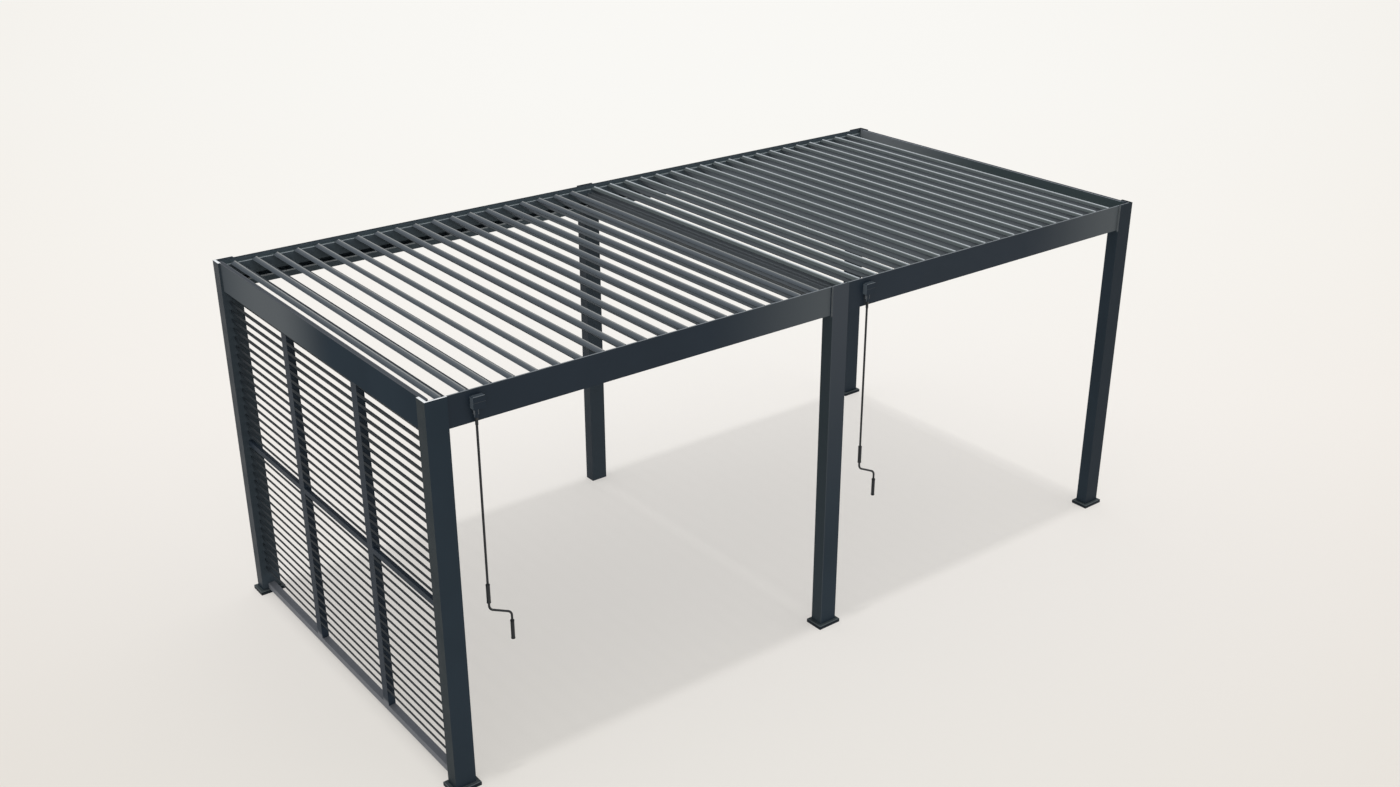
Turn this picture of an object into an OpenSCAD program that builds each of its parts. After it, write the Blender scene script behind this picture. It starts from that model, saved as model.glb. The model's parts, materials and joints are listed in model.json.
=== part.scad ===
// Freestanding louvered pergola with two roof bays, turned by two hand cranks, and a slatted side screen.
// X runs along the long front, -Y is the front with the cranks, Z is up and the ground is at zero.

/* [Frame] */
// Length over the outer faces of the corner posts
frame_length = 5846; // [3000:1:8000]
// Width over the outer faces of the corner posts
frame_width = 2887; // [1500:1:5000]
// Height of the post tops above the ground
frame_height = 2500; // [2000:1:3200]
// Shift of the middle posts from the middle of the length
middle_shift = 1.5; // [-20:0.5:20]

/* [Posts] */
// Post size along the length
post_x = 134; // [80:1:200]
// Post size across the width
post_y = 91; // [60:1:200]
// Wall thickness of the post tube
post_wall = 3; // [2:0.5:6]
// Depth left of the outer walls beside the beams
post_skin = 15; // [8:0.5:30]
// Foot cover size beyond the post faces along the length
foot_out_x = 23.5; // [10:0.5:60]
// Foot cover size beyond the post faces across the width
foot_out_y = 22.5; // [10:0.5:60]
// Height of the foot cover
foot_height = 27; // [12:1:80]
// Sheet thickness of the foot cover
foot_wall = 3; // [2:0.5:6]
// Bevel around the top of the foot cover
foot_bevel = 3; // [0.5:0.5:8]
// Thickness of the anchor plate inside the foot
anchor_thickness = 8; // [4:0.5:16]
// Clearance around the anchor plate inside the foot cover
anchor_gap = 2; // [0.5:0.5:10]
// Diameter of the anchor bolt holes
anchor_hole = 12; // [6:0.5:20]
// Distance of the anchor holes from the post faces
anchor_edge = 9.5; // [8:0.5:30]

/* [Beams] */
// Height of the roof beams
beam_height = 190; // [120:1:300]
// Step from the post tops down to the beam tops
beam_drop = 4; // [0:0.5:20]
// Wall thickness of the beam profiles
beam_wall = 3; // [2:0.5:6]
// Depth of the beam from its outer face to its gutter lip
beam_depth = 58; // [40:1:120]
// Height of the gutter lip
gutter_height = 48; // [20:1:100]
// Depth of the rail that carries the louvre pins
rail_depth = 33; // [20:1:60]
// Step from the beam top down to the rail top
rail_drop = 30; // [10:1:80]
// Height of the hollow rail
rail_height = 92; // [60:1:120]
// Width of the closed top of the side beams
side_top = 30; // [20:1:58]
// Width of the middle beam
middle_width = 40; // [30:1:100]
// Step from the post tops down to the middle beam top
middle_drop = 51; // [20:1:120]
// Height of the middle beam's floor above its underside
middle_floor = 40; // [10:1:120]
// Open joint between the two lengths of the long beams
beam_joint = 1; // [0.3:0.1:4]
// Clearance between parts that seat on each other
seat_gap = 0.3; // [0.1:0.1:1]

/* [Louvres] */
// Gap between the top skins of neighbouring louvres when they are shut
louvre_gap = 16.45; // [4:0.05:40]
// Thickness of the louvre
louvre_thickness = 32; // [16:0.5:60]
// How far the lower lip stands out beyond the top skin
louvre_lean = 17.5; // [4:0.5:40]
// Wall thickness of the louvre profile
louvre_wall = 1.5; // [1:0.1:4]
// Thickness of the thin lips at both edges of the louvre
lip_thickness = 9; // [4:0.5:16]
// Tilt of the louvres as they stand, from shut
louvre_tilt = 39; // [0:0.5:70]
// Distance of the pivot from the upper edge of the louvre
pivot_in = 29; // [10:0.5:70]
// Step from the rail top down to the pivots
pivot_drop = 12.3; // [9:0.1:60]
// Clearance between the left gutter lip and the first shut louvre
left_bay_start = 21.5; // [5:0.1:60]
// Clearance between the last shut louvre of the left bay and the middle beam
left_bay_end = 7.4; // [5:0.1:60]
// Clearance between the middle beam and the first shut louvre of the right bay
right_bay_start = 8; // [5:0.1:60]
// Clearance between the last shut louvre and the right gutter lip
right_bay_end = 17.9; // [5:0.1:60]
// Gap between a louvre end and the rail
end_gap = 5; // [3:0.5:20]
// Thickness of the louvre end caps
cap_thickness = 4; // [2:0.5:10]
// Diameter of the pivot pins
pin_diameter = 10; // [5:0.5:16]
// Radial running clearance of a pin in its hole
pin_clearance = 0.05; // [0.01:0.01:0.1]
// Length of a pin beyond the rail face
pin_reach = 12; // [4:1:24]

/* [Screen] */
// Depth of the screen frame from its outer to its inner side
screen_depth = 48; // [20:1:80]
// Width of the upright members
mullion_width = 72; // [20:1:100]
// Distance between the two upright members
mullion_pitch = 967; // [400:1:1400]
// Height of the bottom rail
sill_height = 44; // [20:1:100]
// Height of the underside of the middle rail
transom_low = 1172; // [500:1:2000]
// Height of the middle rail
transom_height = 38; // [20:1:100]
// Depth of the middle rail
transom_depth = 26; // [10:1:48]
// Wall thickness of the screen tubes
screen_wall = 2; // [1.2:0.1:4]
// Distance between neighbouring slats
slat_pitch = 63.1; // [40:0.1:120]
// Height of a slat from its upper edge to its lower edge
slat_height = 54; // [20:0.5:80]
// Height of the upright lip at the outer edge of a slat
slat_lip = 20; // [4:0.5:40]
// Depth of a slat
slat_depth = 26; // [10:0.5:48]
// Sheet thickness of a slat
slat_sheet = 2; // [1:0.5:6]
// Gap between the roof beam and the first upper slat
upper_start = 12; // [2:0.5:60]
// Gap between the middle rail and the first lower slat
lower_start = 16; // [2:0.5:60]
// Least gap between the last lower slat and the bottom rail
lower_end = 60; // [2:0.5:120]

/* [Cranks] */
// Gearbox size along the beam
gearbox_x = 76; // [40:1:160]
// Gearbox depth in front of the beam
gearbox_y = 34; // [20:1:80]
// Gearbox height
gearbox_z = 74; // [40:1:120]
// Rounding of the gearbox corners
gearbox_round = 5; // [1:0.5:15]
// Step from the beam top down to the gearbox top
gearbox_drop = 36; // [5:1:80]
// Diameter of the eye under the gearbox
eye_diameter = 22; // [14:0.5:40]
// Length of the eye under the gearbox
eye_length = 46; // [10:1:80]
// Crank axis from the side face of the post beside it
crank_off = 159.5; // [100:0.5:400]
// Crank axis in front of the beam face
crank_out = 21; // [15:0.5:80]
// Crank axis from the left face of its gearbox
crank_in_box = 21; // [12:0.5:80]
// Diameter of the crank rod
rod_diameter = 14; // [8:0.5:25]
// Diameter of the ferrule at the top of the rod
ferrule_diameter = 18; // [14:0.5:40]
// Length of the ferrule at the top of the rod
ferrule_length = 44; // [10:1:100]
// Height of the lower end of the crank's sleeve
sleeve_low = 1190; // [600:1:1600]
// Length of the crank's sleeve
sleeve_length = 120; // [40:1:250]
// Diameter of the crank's sleeve
sleeve_diameter = 24; // [14:0.5:40]
// Straight piece of rod between the sleeve and the arm
sleeve_tail = 19; // [4:1:80]
// Sideways throw of the crank
crank_throw = 142; // [60:1:250]
// Drop of the crank's arm over its throw
crank_fall = 68; // [0:1:200]
// Bend radius of the crank's arm
bend_radius = 40; // [15:1:60]
// Straight piece of rod between the arm and the grip
grip_stem = 30; // [4:1:80]
// Diameter of the grip
grip_diameter = 23; // [14:0.5:40]
// Length of the grip
grip_length = 124; // [60:1:200]

/* [Hidden] */
dark = [0.16, 0.18, 0.20];
mid = [0.27, 0.29, 0.31];
black = [0.08, 0.08, 0.09];
louvre_count = 19;
round_steps = 24;
pin_steps = 14;
tiny = 0.01;
arm_lap = 1.5;
arm_step = 0.6;

// Outer faces and levels of the frame
half_x = frame_length / 2;
half_y = frame_width / 2;
beam_top = frame_height - beam_drop;
beam_low = beam_top - beam_height;
beam_face = half_y - post_skin;
side_face = half_x - post_skin;
rail_face = beam_face - rail_depth;
rail_top = beam_top - rail_drop;
middle_top = frame_height - middle_drop;

// Each bay holds its louvres side by side, with a clearance at both ends
pivot_height = rail_top - pivot_drop;
louvre_end = rail_face - end_gap;
left_start = -side_face + beam_depth + left_bay_start;
left_stop = middle_shift - middle_width / 2 - left_bay_end;
right_start = middle_shift + middle_width / 2 + right_bay_start;
right_stop = side_face - beam_depth - right_bay_end;
left_pitch = (left_stop - left_start - louvre_lean + louvre_gap) / louvre_count;
right_pitch = (right_stop - right_start - louvre_lean + louvre_gap) / louvre_count;
left_first = left_start + louvre_lean + pivot_in;
right_first = right_start + louvre_lean + pivot_in;
louvre_width = min(left_pitch, right_pitch) - louvre_gap;

// Screen between the two left posts, centred on them
screen_x = -half_x + (post_x - screen_depth) / 2;
screen_half = half_y - post_y;
field_top = beam_low - seat_gap;
sill_low = foot_height + seat_gap;
upper_room = field_top - upper_start - slat_height - transom_low - transom_height;
lower_room = transom_low - lower_start - slat_height - lower_end - sill_low - sill_height;
upper_slats = floor(upper_room / slat_pitch) + 1;
lower_slats = floor(lower_room / slat_pitch) + 1;

// Cranks, and the shift that centres the whole pergola on the origin
gearbox_low = beam_top - gearbox_drop - gearbox_z;
crank_y = beam_face + crank_out;
left_crank_x = -half_x + post_x + crank_off;
right_crank_x = middle_shift + post_x / 2 + crank_off;
grip_reach = crank_y + max(grip_diameter, eye_diameter, sleeve_diameter) / 2;
rear_reach = half_y + foot_out_y;
front_reach = max(rear_reach, grip_reach, beam_face + gearbox_y);
shift_y = (front_reach - rear_reach) / 2;

module frame_shift() {
    translate([0, shift_y, 0])
        children();
}

// Foot print of a post, and where it stands: sx and sy point from the middle to the post
module post_section(inset = 0) {
    square([post_x - 2 * inset, post_y - 2 * inset], center = true);
}

module post(x, sx, sy) {
    low = (sx == 0 && sy > 0) ? 0 : anchor_thickness + seat_gap;
    px = (sx == 0) ? x : sx * (half_x - post_x / 2);
    py = sy * (half_y - post_y / 2);
    cut_x = (sx == 0) ? post_x + 2 : post_x;
    cut_shift = (sx == 0) ? 0 : -sx * post_skin;
    translate([px, py, 0])
        difference() {
            translate([0, 0, low])
                linear_extrude(frame_height - low)
                    difference() {
                        post_section();
                        post_section(post_wall);
                    }
            translate([cut_shift - cut_x / 2, -sy * post_skin - post_y / 2, beam_low - seat_gap])
                cube([cut_x, post_y, frame_height]);
        }
}

module front_posts() {
    color(dark)
        frame_shift() {
            post(0, -1, -1);
            post(middle_shift, 0, -1);
            post(0, 1, -1);
        }
}

module rear_posts() {
    color(dark)
        frame_shift() {
            post(0, -1, 1);
            post(middle_shift, 0, 1);
            post(0, 1, 1);
        }
}

// Places a foot under each post that has one
module at_feet() {
    frame_shift() {
        for (s = [-1, 1])
            for (t = [-1, 1])
                translate([s * (half_x - post_x / 2), t * (half_y - post_y / 2), 0])
                    children();
        translate([middle_shift, -(half_y - post_y / 2), 0])
            children();
    }
}

module anchor_plate() {
    size_x = post_x + 2 * (foot_out_x - foot_wall - anchor_gap);
    size_y = post_y + 2 * (foot_out_y - foot_wall - anchor_gap);
    linear_extrude(anchor_thickness)
        difference() {
            square([size_x, size_y], center = true);
            for (s = [-1, 1])
                for (t = [-1, 1])
                    translate([s * (post_x / 2 + anchor_edge), t * (post_y / 2 - anchor_edge)])
                        circle(d = anchor_hole, $fn = round_steps);
        }
}

module anchor_plates() {
    color(mid)
        at_feet()
            anchor_plate();
}

module foot_ridge(size, length, top) {
    rotate([90, 0, 0])
        linear_extrude(length, center = true)
            polygon([
                [-size / 2, 0],
                [size / 2, 0],
                [size / 2, top - foot_bevel],
                [size / 2 - foot_bevel, top],
                [-size / 2 + foot_bevel, top],
                [-size / 2, top - foot_bevel]
            ]);
}

module foot_block(grow, top) {
    size_x = post_x + 2 * foot_out_x + 2 * grow;
    size_y = post_y + 2 * foot_out_y + 2 * grow;
    intersection() {
        foot_ridge(size_x, size_y, top);
        rotate(90)
            foot_ridge(size_y, size_x, top);
    }
}

module foot_covers() {
    color(dark)
        at_feet()
            difference() {
                foot_block(0, foot_height);
                translate([0, 0, -tiny])
                    foot_block(-foot_wall, foot_height - foot_wall);
                translate([0, 0, -1])
                    linear_extrude(foot_height + 2)
                        post_section(-seat_gap);
            }
}

// Profile of the long beams: outer wall, hollow pin rail and gutter, drawn inwards from the outer face
module rail_profile() {
    difference() {
        union() {
            square([beam_wall, beam_height]);
            translate([0, beam_height - rail_drop - rail_height])
                square([rail_depth, rail_height]);
            square([beam_depth, beam_wall]);
            translate([beam_depth - beam_wall, 0])
                square([beam_wall, gutter_height]);
        }
        translate([beam_wall, beam_height - rail_drop - rail_height + beam_wall])
            square([rail_depth - 2 * beam_wall, rail_height - 2 * beam_wall]);
    }
}

// Profile of the side beams: closed box with the same gutter
module side_profile() {
    difference() {
        union() {
            square([side_top, beam_height]);
            square([beam_depth, beam_wall]);
            translate([beam_depth - beam_wall, 0])
                square([beam_wall, gutter_height]);
        }
        translate([beam_wall, beam_wall])
            square([side_top - 2 * beam_wall, beam_height - 2 * beam_wall]);
    }
}

// Takes off whatever lies beyond the mitre plane of the corner at sx, sy
module mitre_cut(sx, sy, keep_long) {
    reach = 3 * beam_depth;
    translate([sx * side_face, sy * beam_face, beam_low - 1])
        linear_extrude(beam_height + 2)
            polygon(keep_long
                ? [[sx * reach, sy * reach], [-sx * reach, -sy * reach], [sx * reach, -sy * reach]]
                : [[sx * reach, sy * reach], [-sx * reach, -sy * reach], [-sx * reach, sy * reach]]);
}

module pin_holes(sy) {
    for (bay = [[left_first, left_pitch], [right_first, right_pitch]])
        for (i = [0:louvre_count - 1])
            translate([bay[0] + i * bay[1], sy * (rail_face - 1), pivot_height])
                rotate([sy > 0 ? -90 : 90, 0, 0])
                    cylinder(d = pin_diameter + 2 * pin_clearance, h = beam_wall + 2, $fn = pin_steps);
}

module long_beam(sy) {
    difference() {
        for (s = [-1, 1])
            translate([s < 0 ? -side_face : middle_shift + beam_joint / 2, sy * beam_face, beam_low])
                mirror([0, sy > 0 ? 0 : 1, 0])
                    rotate([90, 0, 90])
                        linear_extrude(side_face + s * (-middle_shift) - beam_joint / 2)
                            mirror([1, 0])
                                rail_profile();
        mitre_cut(-1, sy, true);
        mitre_cut(1, sy, true);
        pin_holes(sy);
    }
}

module front_beam() {
    color(dark)
        frame_shift()
            long_beam(-1);
}

module rear_beam() {
    color(dark)
        frame_shift()
            long_beam(1);
}

module side_beam(sx) {
    difference() {
        translate([sx * side_face, beam_face, beam_low])
            rotate([90, 0, 0])
                linear_extrude(2 * beam_face)
                    mirror([sx > 0 ? 1 : 0, 0])
                        side_profile();
        mitre_cut(sx, -1, false);
        mitre_cut(sx, 1, false);
    }
}

module left_beam() {
    color(dark)
        frame_shift()
            side_beam(-1);
}

module right_beam() {
    color(dark)
        frame_shift()
            side_beam(1);
}

// Cross beam with an open trough that takes the water of both bays
module middle_beam() {
    reach = beam_face - beam_depth - seat_gap;
    height = middle_top - beam_low;
    color(dark)
        frame_shift()
            translate([middle_shift, reach, beam_low])
                rotate([90, 0, 0])
                    linear_extrude(2 * reach)
                        difference() {
                            translate([-middle_width / 2, 0])
                                square([middle_width, height]);
                            translate([-middle_width / 2 + beam_wall, middle_floor])
                                square([middle_width - 2 * beam_wall, height]);
                            translate([-middle_width / 2 + beam_wall, beam_wall])
                                square([middle_width - 2 * beam_wall, middle_floor - 2 * beam_wall]);
                        }
}

// Louvre section, with the pivot at the origin, the top skin along X and the lips slanting
module louvre_section() {
    top = louvre_thickness / 2;
    upper_edge = -pivot_in;
    lower_edge = louvre_width - pivot_in;
    polygon([
        [upper_edge, top],
        [lower_edge, top],
        [lower_edge - lip_thickness * 0.5, top - lip_thickness * 0.6],
        [lower_edge - louvre_lean, -top],
        [upper_edge - louvre_lean, -top],
        [upper_edge - louvre_lean + lip_thickness * 0.5, -top + lip_thickness * 0.6]
    ]);
}

module louvre(x) {
    frame_shift()
        translate([x, 0, pivot_height])
            rotate([0, louvre_tilt, 0]) {
                difference() {
                    rotate([90, 0, 0])
                        linear_extrude(2 * louvre_end, center = true)
                            louvre_section();
                    rotate([90, 0, 0])
                        linear_extrude(2 * (louvre_end - cap_thickness), center = true)
                            offset(delta = -louvre_wall)
                                louvre_section();
                }
                for (s = [-1, 1])
                    rotate([-90 * s, 0, 0])
                        translate([0, 0, louvre_end - cap_thickness / 2])
                            cylinder(d = pin_diameter, h = cap_thickness / 2 + end_gap + pin_reach, $fn = pin_steps);
            }
}

module left_louvre(i) {
    color(mid)
        louvre(left_first + (i - 1) * left_pitch);
}

module right_louvre(i) {
    color(mid)
        louvre(right_first + (i - 1) * right_pitch);
}

module louvre_l01() { left_louvre(1); }
module louvre_l02() { left_louvre(2); }
module louvre_l03() { left_louvre(3); }
module louvre_l04() { left_louvre(4); }
module louvre_l05() { left_louvre(5); }
module louvre_l06() { left_louvre(6); }
module louvre_l07() { left_louvre(7); }
module louvre_l08() { left_louvre(8); }
module louvre_l09() { left_louvre(9); }
module louvre_l10() { left_louvre(10); }
module louvre_l11() { left_louvre(11); }
module louvre_l12() { left_louvre(12); }
module louvre_l13() { left_louvre(13); }
module louvre_l14() { left_louvre(14); }
module louvre_l15() { left_louvre(15); }
module louvre_l16() { left_louvre(16); }
module louvre_l17() { left_louvre(17); }
module louvre_l18() { left_louvre(18); }
module louvre_l19() { left_louvre(19); }
module louvre_r01() { right_louvre(1); }
module louvre_r02() { right_louvre(2); }
module louvre_r03() { right_louvre(3); }
module louvre_r04() { right_louvre(4); }
module louvre_r05() { right_louvre(5); }
module louvre_r06() { right_louvre(6); }
module louvre_r07() { right_louvre(7); }
module louvre_r08() { right_louvre(8); }
module louvre_r09() { right_louvre(9); }
module louvre_r10() { right_louvre(10); }
module louvre_r11() { right_louvre(11); }
module louvre_r12() { right_louvre(12); }
module louvre_r13() { right_louvre(13); }
module louvre_r14() { right_louvre(14); }
module louvre_r15() { right_louvre(15); }
module louvre_r16() { right_louvre(16); }
module louvre_r17() { right_louvre(17); }
module louvre_r18() { right_louvre(18); }
module louvre_r19() { right_louvre(19); }

module screen_box(y0, y1, z0, z1, depth, inset) {
    translate([screen_x + inset, y0 + inset, z0 + inset])
        cube([depth - 2 * inset, y1 - y0 - 2 * inset, z1 - z0 - 2 * inset]);
}

module screen_members(inset) {
    reach = screen_half - seat_gap;
    screen_box(-reach, reach, sill_low, sill_low + sill_height, screen_depth, inset);
    screen_box(-reach, reach, transom_low, transom_low + transom_height, transom_depth, inset);
    for (s = [-1, 1])
        screen_box(s * mullion_pitch / 2 - mullion_width / 2, s * mullion_pitch / 2 + mullion_width / 2,
            sill_low, field_top, screen_depth, inset);
}

module screen_frame() {
    color(dark)
        frame_shift()
            difference() {
                screen_members(0);
                screen_members(screen_wall);
            }
}

// Slat section: an upright lip, then a blade that falls inwards
module slat_section() {
    polygon([
        [0, 0],
        [0, -slat_lip],
        [slat_depth - slat_sheet, -slat_height],
        [slat_depth, -slat_height],
        [slat_depth, -slat_height + slat_sheet],
        [slat_sheet, -slat_lip + slat_sheet],
        [slat_sheet, 0]
    ]);
}

module slat_field(top, count) {
    side_low = mullion_pitch / 2 + mullion_width / 2 + seat_gap;
    side_high = screen_half - seat_gap;
    middle_high = mullion_pitch / 2 - mullion_width / 2 - seat_gap;
    for (i = [0:count - 1])
        for (span = [[-side_high, -side_low], [-middle_high, middle_high], [side_low, side_high]])
            translate([screen_x, span[1], top - i * slat_pitch])
                rotate([90, 0, 0])
                    linear_extrude(span[1] - span[0])
                        slat_section();
}

module screen_slats() {
    color(mid)
        frame_shift() {
            slat_field(field_top - upper_start, upper_slats);
            slat_field(transom_low - lower_start, lower_slats);
        }
}

module rounded_block(size, r) {
    translate([r, 0, r])
        rotate([-90, 0, 0])
            translate([0, -size[2] + 2 * r, 0])
                linear_extrude(size[1])
                    offset(r = r, $fn = round_steps)
                        square([size[0] - 2 * r, size[2] - 2 * r]);
}

module gearbox(x) {
    translate([x - crank_in_box, -beam_face - gearbox_y, gearbox_low])
        rounded_block([gearbox_x, gearbox_y - seat_gap, gearbox_z], gearbox_round);
    translate([x, -crank_y, gearbox_low - eye_length])
        cylinder(d = eye_diameter, h = eye_length + 1, $fn = round_steps);
}

module gearboxes() {
    color(dark)
        frame_shift() {
            gearbox(left_crank_x);
            gearbox(right_crank_x);
        }
}

// Crank rod with sleeve, bent arm and grip, hanging from the eye of its gearbox
module crank_bend(turn) {
    rotate_extrude(angle = turn, $fn = 48)
        translate([bend_radius, 0])
            circle(d = rod_diameter, $fn = pin_steps);
}

module crank(x) {
    rod_top = gearbox_low - eye_length - seat_gap;
    thin_rod = rod_diameter - arm_step;
    arm_angle = atan2(crank_fall, crank_throw);
    turn = 90 - arm_angle;
    side = bend_radius * (1 - cos(turn));
    fall = bend_radius * sin(turn);
    arm = (crank_throw - 2 * side) / cos(arm_angle);
    arm_top = sleeve_low - sleeve_tail;
    arm_low = arm_top - 2 * fall - arm * sin(arm_angle);
    grip_top = arm_low - grip_stem;
    frame_shift()
        translate([x, -crank_y, 0]) {
            translate([0, 0, rod_top - ferrule_length])
                cylinder(d = ferrule_diameter, h = ferrule_length, $fn = pin_steps);
            translate([0, 0, sleeve_low + 2])
                cylinder(d = rod_diameter, h = rod_top - sleeve_low - 3, $fn = pin_steps);
            translate([0, 0, sleeve_low])
                cylinder(d = sleeve_diameter, h = sleeve_length, $fn = pin_steps);
            translate([0, 0, arm_top - arm_lap])
                cylinder(d = thin_rod, h = sleeve_tail + arm_lap + 1, $fn = pin_steps);
            translate([bend_radius, 0, arm_top])
                rotate([90, 180, 0])
                    crank_bend(turn);
            translate([side, 0, arm_top - fall])
                rotate([0, 90 + arm_angle, 0])
                    translate([0, 0, -arm_lap])
                        cylinder(d = thin_rod, h = arm + 2 * arm_lap, $fn = pin_steps);
            translate([crank_throw - bend_radius, 0, arm_low])
                rotate([90, 0, 0])
                    crank_bend(turn);
            translate([crank_throw, 0, grip_top - 1])
                cylinder(d = thin_rod, h = grip_stem + arm_lap + 1, $fn = pin_steps);
            translate([crank_throw, 0, grip_top - grip_length])
                cylinder(d = grip_diameter, h = grip_length, $fn = pin_steps);
        }
}

module left_crank() {
    color(black)
        crank(left_crank_x);
}

module right_crank() {
    color(black)
        crank(right_crank_x);
}

front_posts();
rear_posts();
anchor_plates();
foot_covers();
front_beam();
rear_beam();
left_beam();
right_beam();
middle_beam();
screen_frame();
screen_slats();
gearboxes();
left_crank();
right_crank();
louvre_l01();
louvre_l02();
louvre_l03();
louvre_l04();
louvre_l05();
louvre_l06();
louvre_l07();
louvre_l08();
louvre_l09();
louvre_l10();
louvre_l11();
louvre_l12();
louvre_l13();
louvre_l14();
louvre_l15();
louvre_l16();
louvre_l17();
louvre_l18();
louvre_l19();
louvre_r01();
louvre_r02();
louvre_r03();
louvre_r04();
louvre_r05();
louvre_r06();
louvre_r07();
louvre_r08();
louvre_r09();
louvre_r10();
louvre_r11();
louvre_r12();
louvre_r13();
louvre_r14();
louvre_r15();
louvre_r16();
louvre_r17();
louvre_r18();
louvre_r19();
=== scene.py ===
import math

import bpy
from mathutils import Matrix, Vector
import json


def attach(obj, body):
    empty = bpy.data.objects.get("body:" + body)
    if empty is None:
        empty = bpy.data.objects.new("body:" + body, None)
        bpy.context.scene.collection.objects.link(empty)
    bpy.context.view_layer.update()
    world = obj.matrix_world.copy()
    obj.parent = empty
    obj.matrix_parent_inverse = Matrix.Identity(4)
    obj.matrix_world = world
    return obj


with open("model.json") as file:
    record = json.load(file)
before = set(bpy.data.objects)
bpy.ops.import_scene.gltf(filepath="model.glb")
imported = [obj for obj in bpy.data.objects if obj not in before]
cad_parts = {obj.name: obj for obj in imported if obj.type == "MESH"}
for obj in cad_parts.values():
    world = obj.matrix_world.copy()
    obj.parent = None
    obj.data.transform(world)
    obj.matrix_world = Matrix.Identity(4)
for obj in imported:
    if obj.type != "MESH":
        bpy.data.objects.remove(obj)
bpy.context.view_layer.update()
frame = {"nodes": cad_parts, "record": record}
bpy.ops.object.select_all(action="DESELECT")

# Sizes of the pergola in metres, along the frame's own axes
HALF_X = 2.923
HALF_Y = 1.4435
POST_X = 0.134
POST_Y = 0.091
POST_TOP = 2.5
BEAM_SET_BACK = 0.015
BEAM_TOP = 2.496
BEAM_LOW = 2.306
BEAM_FACE = HALF_Y - BEAM_SET_BACK
SIDE_FACE = HALF_X - BEAM_SET_BACK
RAIL_FACE = BEAM_FACE - 0.033
RAIL_TOP = BEAM_TOP - 0.030
SIDE_BOX_FACE = SIDE_FACE - 0.030
GUTTER_DEPTH = 0.058
GUTTER_LIP_TOP = BEAM_LOW + 0.048
MIDDLE_X = 0.0015
FOOT_TOP = 0.027

# The louvres: a profile that leans inwards at its upper edge, on pins along Y
LOUVRES_A_BAY = 19
PIVOT_Z = 2.4537
PITCH = 0.14745
LEFT_FIRST = -2.782
RIGHT_FIRST = 0.076
LOUVRE_END = RAIL_FACE - 0.005
LOUVRE_THICK = 0.032
LOUVRE_LEAN = 0.0175
LOUVRE_BACK = 0.029
TILT = math.radians(39.0)
LIP_TURN = TILT + math.atan2(LOUVRE_LEAN, LOUVRE_THICK)
LIP_LOW = 2.4705
LIP_HIGH = 2.4844

# The cranks and their gearboxes
GEARBOX_FRONT = -(BEAM_FACE + 0.034)
CRANK_Y = -(BEAM_FACE + 0.021)
CRANK_FROM_POST = 0.1595
LEFT_CRANK_X = -HALF_X + POST_X + CRANK_FROM_POST
RIGHT_CRANK_X = MIDDLE_X + POST_X / 2 + CRANK_FROM_POST
GRIP_X = 0.142
GRIP_LOW = 0.8983
GRIP_TOP = 1.0223

LOUVRES = []
for bay, bay_start in (("l", LEFT_FIRST), ("r", RIGHT_FIRST)):
    for number in range(LOUVRES_A_BAY):
        LOUVRES.append(("louvre_%s%02d" % (bay, number + 1), bay_start + number * PITCH))


# Grain of the powder coat: noise scales for tone, wear and pebble, and the pebble's depth in metres
TONE_SCALE = 2.3
WEAR_SCALE = 9.0
PEBBLE_SCALE = 520.0
PEBBLE_DEPTH = 0.0004
FACING_FROM = 0.86
FACING_FULL = 0.94


def new_finish(name):
    """An empty material with one shader on its output."""
    finish = bpy.data.materials.new(name)
    finish.use_nodes = True
    tree = finish.node_tree
    tree.nodes.clear()
    output = tree.nodes.new("ShaderNodeOutputMaterial")
    shader = tree.nodes.new("ShaderNodeBsdfPrincipled")
    tree.links.new(shader.outputs["BSDF"], output.inputs["Surface"])
    return finish, tree, shader


def place_on_object(tree, stretch=(1, 1, 1)):
    """Object coordinates, stretched along the axes."""
    coords = tree.nodes.new("ShaderNodeTexCoord")
    mapping = tree.nodes.new("ShaderNodeMapping")
    mapping.inputs["Scale"].default_value = stretch
    tree.links.new(coords.outputs["Object"], mapping.inputs["Vector"])
    return mapping.outputs["Vector"]


def clouds(tree, vector, scale, detail=2.0):
    """Soft noise from nothing to one."""
    node = tree.nodes.new("ShaderNodeTexNoise")
    node.inputs["Scale"].default_value = scale
    node.inputs["Detail"].default_value = detail
    tree.links.new(vector, node.inputs["Vector"])
    return node.outputs["Fac"]


def stretch_range(tree, value, low, high, out_low=0.0, out_high=1.0, smooth=False):
    """The value between low and high, spread over the outer range."""
    node = tree.nodes.new("ShaderNodeMapRange")
    if smooth:
        node.interpolation_type = "SMOOTHSTEP"
    node.inputs["From Min"].default_value = low
    node.inputs["From Max"].default_value = high
    node.inputs["To Min"].default_value = out_low
    node.inputs["To Max"].default_value = out_high
    tree.links.new(value, node.inputs["Value"])
    return node.outputs["Result"]


def blend_colours(tree, factor, first, second, kind="MIX"):
    """Two colours, each a fixed one or a socket, blended by the factor."""
    node = tree.nodes.new("ShaderNodeMix")
    node.data_type = "RGBA"
    node.blend_type = kind
    if isinstance(factor, float):
        node.inputs["Factor"].default_value = factor
    else:
        tree.links.new(factor, node.inputs["Factor"])
    for socket, colour in (("A", first), ("B", second)):
        if isinstance(colour, tuple):
            node.inputs[socket].default_value = (*colour, 1.0)
        else:
            tree.links.new(colour, node.inputs[socket])
    return node.outputs["Result"]


def sums(tree, operation, *values):
    """One step of arithmetic on numbers and sockets."""
    node = tree.nodes.new("ShaderNodeMath")
    node.operation = operation
    for index, value in enumerate(values):
        if isinstance(value, (int, float)):
            node.inputs[index].default_value = value
        else:
            tree.links.new(value, node.inputs[index])
    return node.outputs["Value"]


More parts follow.
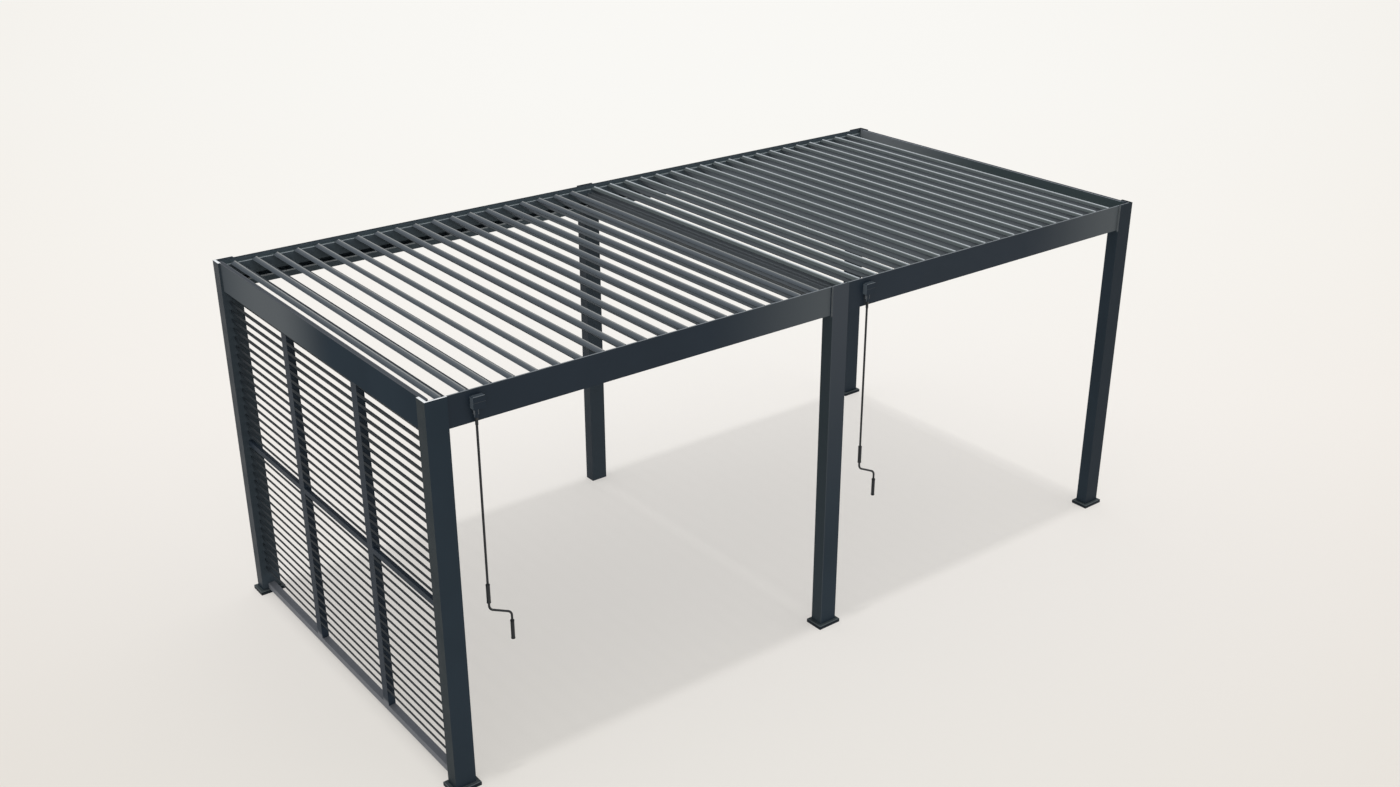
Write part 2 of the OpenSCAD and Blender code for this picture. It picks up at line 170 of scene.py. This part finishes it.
def faces_towards(tree, direction):
    """One on faces that point along the direction, nothing on the others."""
    coords = tree.nodes.new("ShaderNodeTexCoord")
    node = tree.nodes.new("ShaderNodeVectorMath")
    node.operation = "DOT_PRODUCT"
    node.inputs[1].default_value = direction
    tree.links.new(coords.outputs["Normal"], node.inputs[0])
    return stretch_range(tree, node.outputs["Value"], FACING_FROM, FACING_FULL)


def powder_coat(name, colour, roughness=0.42, spread=0.07, grain=0.2, gloss=0.17, patches=()):
    """Textured powder coat: cloudy tone, fine pebble, and painted light and shade on chosen patches.
    A patch is the way its faces point, ramps along the axes, its strength and its colour."""
    finish, tree, shader = new_finish(name)
    vector = place_on_object(tree)
    tone = stretch_range(tree, clouds(tree, vector, TONE_SCALE, 3.0), 0.3, 0.7)
    paler = tuple(channel * (1 + spread) for channel in colour)
    darker = tuple(channel * (1 - spread) for channel in colour)
    result = blend_colours(tree, tone, darker, paler)
    split = tree.nodes.new("ShaderNodeSeparateXYZ")
    tree.links.new(vector, split.inputs["Vector"])
    for direction, ramps, strength, pale in patches:
        facing = faces_towards(tree, direction) if direction else 1.0
        amount = sums(tree, "MULTIPLY", facing, strength)
        for axis, start, full in ramps:
            ramp = stretch_range(tree, split.outputs[axis], start, full, smooth=True)
            amount = sums(tree, "MULTIPLY", amount, ramp)
        result = blend_colours(tree, amount, result, pale)
    tree.links.new(result, shader.inputs["Base Color"])
    worn = clouds(tree, vector, WEAR_SCALE)
    wear = stretch_range(tree, worn, 0.3, 0.7, roughness - 0.04, roughness + 0.05)
    tree.links.new(wear, shader.inputs["Roughness"])
    bump = tree.nodes.new("ShaderNodeBump")
    bump.inputs["Strength"].default_value = grain
    bump.inputs["Distance"].default_value = PEBBLE_DEPTH
    tree.links.new(clouds(tree, vector, PEBBLE_SCALE), bump.inputs["Height"])
    tree.links.new(bump.outputs["Normal"], shader.inputs["Normal"])
    shader.inputs["Specular IOR Level"].default_value = gloss
    return finish


def plain_metal(name, colour, roughness):
    """Bare or plated metal with fine lengthwise brushing."""
    finish, tree, shader = new_finish(name)
    vector = place_on_object(tree, (90.0, 90.0, 900.0))
    streaks = stretch_range(tree, clouds(tree, vector, 1.0, 3.0), 0.3, 0.7)
    darker = tuple(channel * 0.86 for channel in colour)
    tree.links.new(blend_colours(tree, streaks, darker, colour), shader.inputs["Base Color"])
    shader.inputs["Metallic"].default_value = 1.0
    brushed = stretch_range(tree, streaks, 0.0, 1.0, roughness - 0.06, roughness + 0.06)
    tree.links.new(brushed, shader.inputs["Roughness"])
    return finish


# Tones, and the ways that faces point
ANTHRACITE = (0.017, 0.027, 0.040)
SHEEN = (0.104, 0.119, 0.128)
UP = (0, 0, 1)
OUT_LEFT = (-1, 0, 0)
OUT_FRONT = (0, -1, 0)
LIP = (-math.cos(LIP_TURN), 0, math.sin(LIP_TURN))
UNDERSIDE = (-math.sin(TILT), 0, -math.cos(TILT))

# Finishes of the solids. Patches are painted light and shade: they pale or darken faces by the way they point
# and where they stand, as painted highlights, sheen and shade
frame_coat = powder_coat("frame_coat", ANTHRACITE)
# Painted glint on the tops of the left posts
TOP_RIM_GLINT = (
    UP, (("Z", POST_TOP - 0.0004, POST_TOP - 0.0002), ("X", -2.7, -2.75)), 1.0, (0.75, 0.77, 0.78),
)
# Painted light and shade on the front posts: paler or darker fronts and left faces by where each post stands,
# painted highlight lines at the middle post's front corner and at the left post under the beam, and the
# painted glint on top
front_post_coat = powder_coat("front_post_coat", (0.0225, 0.035, 0.048), gloss=0.06, patches=(
    (OUT_FRONT, (("X", 1.5, 2.6),), 1.0, (0.017, 0.026, 0.036)),
    (OUT_FRONT, (("X", -2.0, -1.0), ("X", 2.0, 1.0), ("Z", 0.5, 2.6)), 1.0, (0.054, 0.064, 0.078)),
    (OUT_FRONT, (("X", -0.058, -0.062), ("X", -0.0656, -0.0650)), 0.7, (0.066, 0.078, 0.090)),
    (OUT_LEFT, (("X", -2.0, -1.0), ("X", 2.0, 1.0)), 1.0, (0.032, 0.046, 0.056)),
    (OUT_LEFT, (("X", -2.0, -1.0), ("Y", -1.4275, -1.4290), ("Z", 2.29, 2.31)), 1.0,
     (0.150, 0.165, 0.178)),
    (OUT_LEFT, (("X", -2.0, -2.6),), 1.0, (0.020, 0.031, 0.038)),
    TOP_RIM_GLINT,
))
# Painted light on the rear posts: paler fronts, and the painted glint on the left post's top
rear_post_coat = powder_coat("rear_post_coat", (0.018, 0.029, 0.041), gloss=0.10, patches=(
    (OUT_FRONT, (("X", 2.5, -2.6),), 1.0, (0.046, 0.062, 0.076)),
    TOP_RIM_GLINT,
))
front_coat = powder_coat("front_beam_coat", ANTHRACITE, gloss=0.12, patches=(
    (OUT_FRONT, (("X", -1.1, 0.15), ("X", -0.072, -0.075)), 0.78, SHEEN),
    (OUT_FRONT, (("X", 1.7, 2.95),), 0.80, SHEEN),
))
# Painted light on the rear beam: paler inner front faces, gutter floor and rail top, which sit in shade
rear_coat = powder_coat("rear_beam_coat", ANTHRACITE, gloss=0.05, patches=(
    (OUT_FRONT, (), 1.0, (0.085, 0.110, 0.128)),
    (UP, (("Z", 2.42, 2.38),), 1.0, (0.200, 0.225, 0.250)),
    (UP, (("Z", 2.462, 2.465),), 1.0, (0.074, 0.096, 0.100)),
))
# Painted highlight line along the right beam's inner face, brighter towards the back
right_coat = powder_coat("right_beam_coat", ANTHRACITE, gloss=0.05, patches=(
    (OUT_LEFT, (("Z", 2.36, 2.38),), 1.0, (0.066, 0.090, 0.096)),
    (OUT_LEFT, (("Z", 2.36, 2.38), ("Y", -0.3, 1.4)), 1.0, (0.215, 0.235, 0.250)),
))
# Painted highlight line along the middle beam's left face, and a paler top as painted light
middle_coat = powder_coat("middle_beam_coat", ANTHRACITE, gloss=0.05, patches=(
    (OUT_LEFT, (("Z", 2.33, 2.35),), 1.0, (0.150, 0.168, 0.182)),
    (UP, (), 1.0, (0.130, 0.145, 0.158)),
))
# Painted sheen on the back part of the left beam's outer face, and a paler top as painted light
left_coat = powder_coat("left_beam_coat", (0.0310, 0.0440, 0.0580), gloss=0.0, patches=(
    (OUT_LEFT, (("Y", -0.35, 0.5), ("Y", 2.0, 0.7)), 0.88, (0.135, 0.150, 0.162)),
    (UP, (), 1.0, (0.070, 0.078, 0.088)),
))
# Painted light on the louvres: undersides paler as if lit from the floor, lips paler along their upper band
# and much brighter in the right bay, and a paler band near the lip ends
UNDERSIDE_BOUNCE_LIGHT = (0.150, 0.173, 0.198)
CAP_EDGE = (LIP, (("Y", -LOUVRE_END + 0.007, -LOUVRE_END + 0.005),), 0.7, (0.30, 0.32, 0.33))
left_louvre_coat = powder_coat("left_louvre_coat", (0.052, 0.060, 0.068), gloss=0.0, patches=(
    (UNDERSIDE, (), 1.0, UNDERSIDE_BOUNCE_LIGHT),
    (LIP, (), 1.0, (0.072, 0.084, 0.096)),
    (LIP, (("Z", LIP_LOW + 0.001, LIP_HIGH),), 1.0, (0.142, 0.158, 0.174)),
    CAP_EDGE,
))
right_louvre_coat = powder_coat("right_louvre_coat", (0.052, 0.060, 0.068), gloss=0.0, patches=(
    (UNDERSIDE, (), 1.0, UNDERSIDE_BOUNCE_LIGHT),
    (LIP, (), 1.0, (0.078, 0.092, 0.094)),
    (LIP, (("Z", LIP_LOW + 0.007, LIP_HIGH - 0.002),), 1.0, (0.27, 0.29, 0.295)),
    CAP_EDGE,
))
# Painted light: the left face and top of the screen frame paler low down on the sill
screen_coat = powder_coat("screen_coat", (0.026, 0.037, 0.052), gloss=0.05, patches=(
    (OUT_LEFT, (("Z", 0.110, 0.080),), 1.0, (0.170, 0.180, 0.200)),
    (UP, (("Z", 0.110, 0.080),), 1.0, (0.150, 0.160, 0.178)),
))
slat_coat = powder_coat("slat_coat", (0.022, 0.029, 0.036), gloss=0.03)
# Painted highlight: a pale band just under the top edge of the foot covers, and a paler top
foot_coat = powder_coat("foot_coat", (0.014, 0.020, 0.026), gloss=0.05, patches=(
    (None, (("Z", FOOT_TOP - 0.0034, FOOT_TOP - 0.0028),), 1.0, (0.100, 0.118, 0.124)),
    (UP, (("Z", FOOT_TOP - 0.0006, FOOT_TOP - 0.0003),), 1.0, (0.052, 0.064, 0.068)),
))
# Painted light: paler top and left faces of the gearboxes
gearbox_coat = powder_coat("gearbox_coat", (0.018, 0.028, 0.041), gloss=0.10, patches=(
    (UP, (), 1.0, (0.050, 0.062, 0.074)),
    (OUT_LEFT, (), 1.0, (0.110, 0.135, 0.160)),
))
crank_coat = powder_coat("crank_coat", (0.012, 0.015, 0.019), gloss=0.35, roughness=0.36)

# Finishes of the small pieces. The bead, edge and rim coats are painted highlights, shade_coat a dimmer
# painted edge line, and the coat of the post-top strips a painted glint
grip_rubber = powder_coat("grip_rubber", (0.010, 0.011, 0.013), roughness=0.6, grain=0.4)
seal_rubber = powder_coat("seal_rubber", (0.008, 0.009, 0.010), roughness=0.7)
left_bead_highlight_coat = powder_coat("left_bead_highlight_coat", (0.24, 0.25, 0.25), gloss=0.1)
right_bead_highlight_coat = powder_coat("right_bead_highlight_coat", (0.45, 0.485, 0.51), gloss=0.1)
shade_coat = powder_coat("shade_coat", (0.060, 0.067, 0.078), gloss=0.05)
edge_highlight_coat = powder_coat("edge_highlight_coat", (0.16, 0.18, 0.20), gloss=0.3)
rim_highlight_coat = powder_coat("rim_highlight_coat", (0.30, 0.335, 0.355), gloss=0.3)
# Pale coat of the post-top strips, a painted glint
rim_glint_coat = powder_coat("rim_glint_coat", (0.80, 0.82, 0.83), roughness=0.35, gloss=0.5, spread=0.03)
anchor_metal = plain_metal("anchor_metal", (0.42, 0.43, 0.44), 0.45)

COATS = {
    "frame_coat": frame_coat,
    "slat_coat": slat_coat,
    "gearbox_coat": gearbox_coat,
    "crank_coat": crank_coat,
    "anchor_metal": anchor_metal,
}
OWN_COATS = {
    "front_beam": front_coat,
    "left_beam": left_coat,
    "rear_beam": rear_coat,
    "right_beam": right_coat,
    "middle_beam": middle_coat,
    "foot_covers": foot_coat,
    "front_posts": front_post_coat,
    "rear_posts": rear_post_coat,
    "screen_frame": screen_coat,
}
slot_of = {row["node"]: row["material_slot"] for row in frame["record"]["subparts"]}
for node_name, node in frame["nodes"].items():
    node.data.materials.clear()
    if node_name.startswith("louvre_l"):
        node.data.materials.append(left_louvre_coat)
    elif node_name.startswith("louvre_r"):
        node.data.materials.append(right_louvre_coat)
    else:
        node.data.materials.append(OWN_COATS.get(node_name) or COATS[slot_of[node_name]])


# Small pieces that dress the frame
FINE_ROUND = 0.0004
COLLAR_ROUND = 0.0012


def settle(piece, name, finish, body="frame"):
    """Names the piece, puts its place into its mesh, gives it its finish and lets it ride."""
    bpy.ops.object.transform_apply(location=True, rotation=True, scale=True)
    piece.name = name
    piece.data.name = name
    piece.data.materials.clear()
    piece.data.materials.append(finish)
    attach(piece, body)
    piece.select_set(False)
    return piece


def soften(piece, width, segments=2):
    """Rounds the edges of the piece."""
    bevel = piece.modifiers.new("edges", "BEVEL")
    bevel.width = width
    bevel.segments = segments
    bevel.limit_method = "ANGLE"
    bpy.context.view_layer.objects.active = piece
    bpy.ops.object.modifier_apply(modifier=bevel.name)


def strip(name, low, high, finish, body="frame", edge=FINE_ROUND, turn=None, about=None):
    """A rounded strip between two corners, turned about a line along Y where it sits on a louvre."""
    size = [high[i] - low[i] for i in range(3)]
    middle = [(high[i] + low[i]) / 2 for i in range(3)]
    bpy.ops.mesh.primitive_cube_add(size=1, location=middle, scale=size)
    piece = bpy.context.active_object
    bpy.ops.object.transform_apply(location=True, rotation=True, scale=True)
    soften(piece, edge)
    if turn:
        piece.rotation_euler = (0, turn, 0)
        piece.location = about
    return settle(piece, name, finish, body)


def copy_to(piece, name, shift, body, finish=None):
    """A copy of a finished piece with its own mesh, moved along the frame."""
    bpy.ops.object.select_all(action="DESELECT")
    piece.select_set(True)
    bpy.context.view_layer.objects.active = piece
    bpy.ops.object.duplicate(linked=False)
    twin = bpy.context.active_object
    twin.location = shift
    return settle(twin, name, finish or piece.data.materials[0], body)


def ring(name, middle, radius, depth, finish, body):
    """A collar with rounded rims around an upright rod or grip."""
    bpy.ops.mesh.primitive_cylinder_add(vertices=32, radius=radius, depth=depth, location=middle)
    piece = bpy.context.active_object
    bpy.ops.object.transform_apply(location=True, rotation=True, scale=True)
    soften(piece, COLLAR_ROUND)
    bpy.ops.object.shade_smooth_by_angle(angle=math.radians(40))
    return settle(piece, name, finish, body)


# Rolled top edges of the beams, pale along the front as a painted highlight and a dimmer painted line on the
# sides; the rear ones take the frame's coat. Strips stand a little proud of the solids
RIM_WIDTH = 0.007
RIM_DEPTH = 0.0015
PROUD = 0.0004
HALF_JOINT = 0.0005
for side, face in (("front", -1), ("rear", 1)):
    near, far = sorted((face * (BEAM_FACE + PROUD), face * (BEAM_FACE - RIM_WIDTH)))
    lengths = (("left", -SIDE_FACE, MIDDLE_X - HALF_JOINT), ("right", MIDDLE_X + HALF_JOINT, SIDE_FACE))
    for part, x0, x1 in lengths:
        strip("%s_%s_rim" % (side, part), (x0, near, BEAM_TOP - RIM_DEPTH), (x1, far, BEAM_TOP + PROUD),
              edge_highlight_coat if side == "front" else frame_coat)
for side, face in (("left", -1), ("right", 1)):
    near, far = sorted((face * (SIDE_FACE + PROUD), face * (SIDE_FACE - RIM_WIDTH)))
    strip("%s_side_rim" % side, (near, -BEAM_FACE + RIM_WIDTH, BEAM_TOP - RIM_DEPTH),
          (far, BEAM_FACE - RIM_WIDTH, BEAM_TOP + PROUD), shade_coat)

# Painted highlights along the inner edges of the pin rails, side boxes and gutter lips, dimmer on the left
# side.
# The rear gutter's lip shows its front, so its edge is narrow and deep
EDGE = (0.008, 0.002)
REAR_LIP_EDGE = (0.0034, 0.010)
GUTTER_X = SIDE_FACE - GUTTER_DEPTH
GUTTER_Y = BEAM_FACE - GUTTER_DEPTH
for side, face in (("front", -1), ("rear", 1)):
    for place, reach, top in (("rail", RAIL_FACE, RAIL_TOP), ("gutter", GUTTER_Y, GUTTER_LIP_TOP)):
        width, depth = REAR_LIP_EDGE if place == "gutter" and side == "rear" else EDGE
        near, far = sorted((face * (reach - PROUD), face * (reach + width)))
        strip("%s_%s_edge" % (side, place), (-GUTTER_X, near, top - depth), (GUTTER_X, far, top + PROUD),
              rim_highlight_coat)
for side, face in (("left", -1), ("right", 1)):
    for place, reach, top in (("box", SIDE_BOX_FACE, BEAM_TOP), ("gutter", GUTTER_X, GUTTER_LIP_TOP)):
        width, depth = EDGE
        near, far = sorted((face * (reach - PROUD), face * (reach + width)))
        strip("%s_side_%s_edge" % (side, place), (near, -GUTTER_Y, top - depth), (far, GUTTER_Y, top + PROUD),
              shade_coat if side == "left" else edge_highlight_coat)

# Bead along the upper edge of each louvre, pale as a painted highlight and paler in the right bay, and a
# rubber seal under its lower edge, made on the first louvre and copied to the others. Sections are measured
# from the line they turn about
BEAD_LOW = (-0.0006, -LOUVRE_END, -0.0075)
BEAD_HIGH = (0.0012, LOUVRE_END, 0.0006)
SEAL_END = LOUVRE_END - 0.01
SEAL_LOW = (0.0830, -SEAL_END, -0.0178)
SEAL_HIGH = (0.0880, SEAL_END, -0.0140)
SEAL_ROUND = 0.0010
first_name, first_x = LOUVRES[0]
bead_x = first_x - LOUVRE_BACK * math.cos(TILT) + LOUVRE_THICK / 2 * math.sin(TILT)
bead_z = PIVOT_Z + LOUVRE_BACK * math.sin(TILT) + LOUVRE_THICK / 2 * math.cos(TILT)
bead = strip(first_name + "_bead", BEAD_LOW, BEAD_HIGH, left_bead_highlight_coat, first_name,
             turn=LIP_TURN, about=(bead_x, 0, bead_z))
seal = strip(first_name + "_seal", SEAL_LOW, SEAL_HIGH, seal_rubber, first_name,
             edge=SEAL_ROUND, turn=TILT, about=(first_x, 0, PIVOT_Z))
for louvre_name, pivot_x in LOUVRES[1:]:
    along = (pivot_x - first_x, 0, 0)
    bead_finish = left_bead_highlight_coat if pivot_x < 0 else right_bead_highlight_coat
    copy_to(bead, louvre_name + "_bead", along, louvre_name, bead_finish)
    copy_to(seal, louvre_name + "_seal", along, louvre_name)

# Painted glint: pale strips on the thin outer walls at the tops of the left posts
GLINT_INSET = 0.0032
GLINT_SIDE_WIDTH = 0.0160
GLINT_FRONT_START = 0.0165
GLINT_FRONT_WIDTH = 0.0085
GLINT_LOW = POST_TOP - 0.006
GLINT_HIGH = POST_TOP - 0.0002
glint_x = -HALF_X + GLINT_INSET
glint_y = HALF_Y - GLINT_INSET
post_inner_y = HALF_Y - POST_Y
strip("front_left_rim_glint_side", (glint_x, -glint_y, GLINT_LOW),
      (glint_x + GLINT_SIDE_WIDTH, -post_inner_y, GLINT_HIGH), rim_glint_coat)
strip("front_left_rim_glint_front", (glint_x + GLINT_FRONT_START, -glint_y, GLINT_LOW),
      (-HALF_X + POST_X, -glint_y + GLINT_FRONT_WIDTH, GLINT_HIGH), rim_glint_coat)
strip("rear_left_rim_glint_side", (glint_x, post_inner_y, GLINT_LOW),
      (glint_x + GLINT_SIDE_WIDTH, glint_y, GLINT_HIGH), rim_glint_coat)

# Cover joint, brow and fork cheeks of the left gearbox, copied to the right one. The brow and cheeks are pale
# painted highlights, the joint a dimmer painted line
GEARBOX_ASIDE = 0.017
GEARBOX_ROUND = 0.0003
SEAM_HALF = 0.0378
BROW_HALF = 0.0350
CHEEK_WIDTH = 0.002
CHEEK_REACH = 0.009
CHEEK_ROUND = 0.0005
box_x = LEFT_CRANK_X + GEARBOX_ASIDE
to_right = (RIGHT_CRANK_X - LEFT_CRANK_X, 0, 0)
seam = strip("left_gearbox_seam", (box_x - SEAM_HALF, GEARBOX_FRONT - 0.0006, 2.4240),
             (box_x + SEAM_HALF, GEARBOX_FRONT + 0.0010, 2.4262), shade_coat,
             edge=GEARBOX_ROUND)
copy_to(seam, "right_gearbox_seam", to_right, "frame")
brow = strip("left_gearbox_brow", (box_x - BROW_HALF, GEARBOX_FRONT - 0.0004, 2.4585),
             (box_x + BROW_HALF, GEARBOX_FRONT + 0.0035, 2.4604), edge_highlight_coat,
             edge=GEARBOX_ROUND)
copy_to(brow, "right_gearbox_brow", to_right, "frame")
for cheek, aside in (("outer", -0.0125), ("inner", 0.0105)):
    cheek_x = LEFT_CRANK_X + aside
    fork = strip("left_fork_%s_cheek" % cheek, (cheek_x, CRANK_Y - CHEEK_REACH, 2.3560),
                 (cheek_x + CHEEK_WIDTH, CRANK_Y + CHEEK_REACH, 2.3858), edge_highlight_coat,
                 edge=CHEEK_ROUND)
    copy_to(fork, "right_fork_%s_cheek" % cheek, to_right, "frame")

# Collars of the left crank, copied to the right one: place, way from the rod, height, radius,
# depth and finish
COLLARS = (
    ("sleeve_top", 0.0, 1.3060, 0.0128, 0.006, crank_coat),
    ("sleeve_foot", 0.0, 1.1940, 0.0128, 0.006, crank_coat),
    ("grip_top", GRIP_X, GRIP_TOP - 0.004, 0.0124, 0.006, grip_rubber),
    ("grip_cap", GRIP_X, GRIP_LOW + 0.004, 0.0126, 0.007, grip_rubber),
)
for place, aside, height, radius, depth, finish in COLLARS:
    middle = (LEFT_CRANK_X + aside, CRANK_Y, height)
    collar = ring("left_%s_collar" % place, middle, radius, depth, finish, "left_crank")
    copy_to(collar, "right_%s_collar" % place, to_right, "right_crank")

# Studio floor, whose tone pales towards the back in a fan of light. Each tone has its place
# in metres towards the back
FLOOR_SIZE = 300
FAN_TURN = 0.6624
FAN_START = 13.0
FAN_NARROWEST = 3.0
FAN_SIDE_TONE = (0.955, 0.94, 0.925)
FADE_START = -5.0
FADE_LENGTH = 65.0
FLOOR_PAINT = (0.43, 0.43, 0.43)
FLOOR_GLOW = 0.525
FLOOR_TONES = (
    (-3.2, (0.850, 0.820, 0.770)),
    (-0.8, (0.885, 0.855, 0.815)),
    (2.6, (0.935, 0.905, 0.865)),
    (7.0, (0.945, 0.925, 0.885)),
    (15.7, (0.948, 0.937, 0.903)),
    (60.0, (0.950, 0.940, 0.910)),
)


def turned(tree, x, y, across, along, operation):
    """The two coordinates, each times its share, added or subtracted."""
    return sums(tree, operation, sums(tree, "MULTIPLY", x, across), sums(tree, "MULTIPLY", y, along))


def floor_finish():
    """Matt pale floor with a glow of its own, so that it stays pale and still takes the shadow."""
    finish, tree, shader = new_finish("floor_finish")
    coords = tree.nodes.new("ShaderNodeTexCoord")
    split = tree.nodes.new("ShaderNodeSeparateXYZ")
    tree.links.new(coords.outputs["Object"], split.inputs["Vector"])
    x, y = split.outputs["X"], split.outputs["Y"]
    back = turned(tree, x, y, math.sin(FAN_TURN), math.cos(FAN_TURN), "ADD")
    aside = turned(tree, x, y, math.cos(FAN_TURN), math.sin(FAN_TURN), "SUBTRACT")
    ramp = tree.nodes.new("ShaderNodeValToRGB")
    for index, (place, colour) in enumerate(FLOOR_TONES):
        position = (place - FADE_START) / FADE_LENGTH
        stop = ramp.color_ramp.elements[index] if index < 2 else ramp.color_ramp.elements.new(position)
        stop.position = position
        stop.color = (*colour, 1.0)
    tree.links.new(stretch_range(tree, back, FADE_START, FADE_START + FADE_LENGTH), ramp.inputs["Fac"])
    opening = sums(tree, "MAXIMUM", sums(tree, "ADD", back, FAN_START), FAN_NARROWEST)
    slope = sums(tree, "DIVIDE", aside, opening)
    away = stretch_range(tree, sums(tree, "MULTIPLY", slope, slope), 0.0, 0.2)
    tone = blend_colours(tree, away, ramp.outputs["Color"], FAN_SIDE_TONE, "MULTIPLY")
    paint = blend_colours(tree, 1.0, tone, FLOOR_PAINT, "MULTIPLY")
    tree.links.new(paint, shader.inputs["Base Color"])
    tree.links.new(tone, shader.inputs["Emission Color"])
    shader.inputs["Emission Strength"].default_value = FLOOR_GLOW
    shader.inputs["Roughness"].default_value = 1.0
    shader.inputs["Specular IOR Level"].default_value = 0.0
    return finish


bpy.ops.mesh.primitive_plane_add(size=FLOOR_SIZE, location=(0, 0, 0))
floor = bpy.context.active_object
floor.name = "floor"
floor.data.materials.append(floor_finish())
floor.select_set(False)

# Plain studio light
SKY_TONE = (0.985, 0.99, 1.0, 1.0)
SKY_LEVEL = 0.80
SUN_LEVEL = 1.0
SUN_SPREAD = math.radians(3.4)
world = bpy.data.worlds.new("studio")
bpy.context.scene.world = world
world.use_nodes = True
background = world.node_tree.nodes["Background"]
background.inputs["Color"].default_value = SKY_TONE
background.inputs["Strength"].default_value = SKY_LEVEL

sun_data = bpy.data.lights.new("overhead", "SUN")
sun_data.energy = SUN_LEVEL
sun_data.angle = SUN_SPREAD
sun = bpy.data.objects.new("overhead", sun_data)
bpy.context.collection.objects.link(sun)

# The camera: its place in metres, its turn to the right and its look downwards in radians
CAMERA_PLACE = (-6.0582, -7.7727, 5.6291)
CAMERA_TURN = 0.6624
CAMERA_DOWN = 0.4182
LENS = 37.94
SENSOR = 36.0
camera_data = bpy.data.cameras.new("camera")
camera_data.lens = LENS
camera_data.sensor_width = SENSOR
camera = bpy.data.objects.new("camera", camera_data)
bpy.context.collection.objects.link(camera)
level = math.cos(CAMERA_DOWN)
sight = Vector((level * math.sin(CAMERA_TURN), level * math.cos(CAMERA_TURN), -math.sin(CAMERA_DOWN)))
camera.location = CAMERA_PLACE
camera.rotation_euler = sight.to_track_quat("-Z", "Y").to_euler()
bpy.context.scene.camera = camera
bpy.context.scene.view_settings.view_transform = "Standard"
